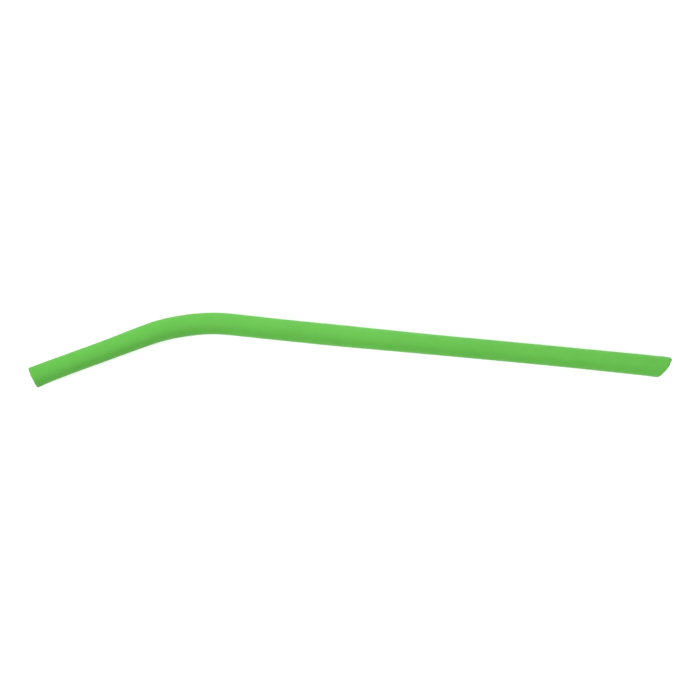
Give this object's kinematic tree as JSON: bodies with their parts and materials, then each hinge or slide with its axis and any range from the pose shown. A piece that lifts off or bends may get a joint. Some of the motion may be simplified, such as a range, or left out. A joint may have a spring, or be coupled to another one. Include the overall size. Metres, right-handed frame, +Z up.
{
  "type": "silicone drinking straw",
  "caption": "Reusable bent drinking straw: one soft rubber tube with a long stem cut to a bowed slanted tip, a gentle bend and a short mouth leg with a rounded lip.",
  "frame": {"origin": "on the surface that the straw lies on, below the middle of its bounding box", "axes": "+X along the stem towards the slanted tip, +Y towards the outer side of the bend, so the mouth leg turns to -Y, and +Z up, square to the plane of the bend"},
  "size_m": [0.2494, 0.035, 0.008],
  "materials": {
    "silicone": "satin"
  },
  "bodies": {
    "root": {"straw": "silicone"}
  },
  "joints": []
}
